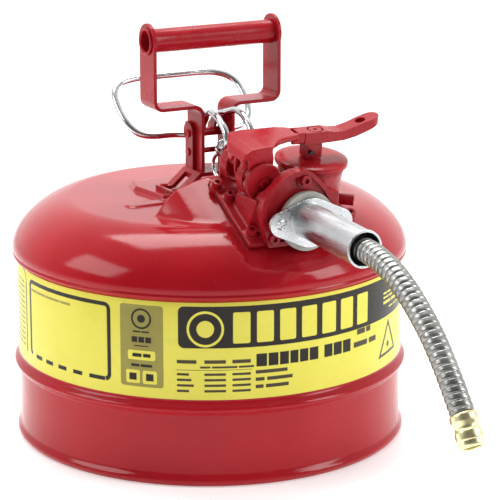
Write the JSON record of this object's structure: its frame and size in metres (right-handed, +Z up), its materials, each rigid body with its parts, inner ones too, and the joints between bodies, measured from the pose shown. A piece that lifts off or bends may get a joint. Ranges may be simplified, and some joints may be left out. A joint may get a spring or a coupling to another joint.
{
  "type": "safety gas can",
  "caption": "Round steel fuel can with a bar handle, squeeze trigger, sprung fill cap and a flexible metal pouring hose.",
  "frame": {"origin": "on the can's axis at the floor", "axes": "+Z up; +X the pouring direction; +Y along the handle's grip towards the tip of the fill cap's lever"},
  "size_m": [0.507, 0.298, 0.3132],
  "materials": {
    "red_paint": "glossy powder coat on sheet steel and castings",
    "label_film": "smooth printed film",
    "zinc": "bright zinc-plated steel",
    "hose_steel": "bare steel strip, wound",
    "brass": "bright turned brass",
    "dark_pin": "blackened steel",
    "seal_rubber": "matt black rubber",
    "grey_gasket": "matt grey fibre"
  },
  "bodies": {
    "can": {"body_shell": "red_paint", "bottom_plate": "red_paint", "top_shell": "red_paint", "label_band": "label_film", "strap_near": "red_paint", "strap_far": "red_paint", "grip_tube": "red_paint", "handle_bracket": "red_paint", "cross_rod": "red_paint", "foot_rivets": "red_paint", "pivot_rod": "red_paint", "manifold_body": "red_paint", "manifold_gasket": "seal_rubber", "manifold_bolts": "red_paint", "outlet_flange": "red_paint", "outlet_bolts": "red_paint", "outlet_spacer": "grey_gasket", "barrel": "zinc", "barrel_screws": "zinc", "hose_ferrule": "zinc", "hose": "hose_steel", "nozzle_tip": "brass", "hinge_pin": "red_paint", "rear_spring": "red_paint", "front_spring": "red_paint", "hinge_bush": "red_paint", "fill_screen": "zinc", "neck_plug": "red_paint", "gland_plate": "red_paint", "gland_screws": "zinc", "pour_housing": "red_paint", "vent_housing": "red_paint", "pour_spring": "zinc", "vent_spring": "zinc", "pour_duct": "red_paint", "pour_screen": "zinc", "vent_screen": "zinc"},
    "trigger": {"trigger_wire": "zinc", "trigger_sleeve": "red_paint"},
    "pour_valve": {"pour_stem": "zinc", "pour_disc": "seal_rubber", "pour_link": "zinc", "pour_pin": "zinc"},
    "vent_valve": {"vent_stem": "zinc", "vent_disc": "seal_rubber", "vent_link": "zinc", "vent_pin": "zinc"},
    "fill_cap": {"cap_yoke": "red_paint", "fill_lever": "red_paint", "lever_rivet": "red_paint", "cap_stem": "red_paint", "stem_pin": "dark_pin", "fill_cap": "red_paint", "cap_gasket": "seal_rubber"}
  },
  "joints": [
    {"name": "trigger_squeeze", "type": "hinge", "parent": "can", "child": "trigger", "pos_m": [-0.0086, 0.004, 0.227], "axis": [0, 1, 0], "range_deg": [0, 12], "stiffness_Nm_per_rad": 3, "springref_deg": -8.59},
    {"name": "pour_valve_open", "type": "slide", "parent": "can", "child": "pour_valve", "axis": [0, 0, -1], "range_m": [0, 0.01048], "deforming": ["pour_spring"]},
    {"name": "vent_valve_open", "type": "slide", "parent": "can", "child": "vent_valve", "axis": [0, 0, -1], "range_m": [0, 0.01048], "deforming": ["vent_spring"]},
    {"name": "fill_cap_lift", "type": "hinge", "parent": "can", "child": "fill_cap", "pos_m": [0.088, -0.014, 0.2173], "axis": [0.9877, 0, -0.1564], "range_deg": [0, 65], "stiffness_Nm_per_rad": 0.5, "springref_deg": -51.57}
  ],
  "couplings": [
    {"joint": "pour_valve_open", "follows": "trigger_squeeze", "m_per_rad": 0.0491},
    {"joint": "vent_valve_open", "follows": "trigger_squeeze", "m_per_rad": 0.0491}
  ]
}
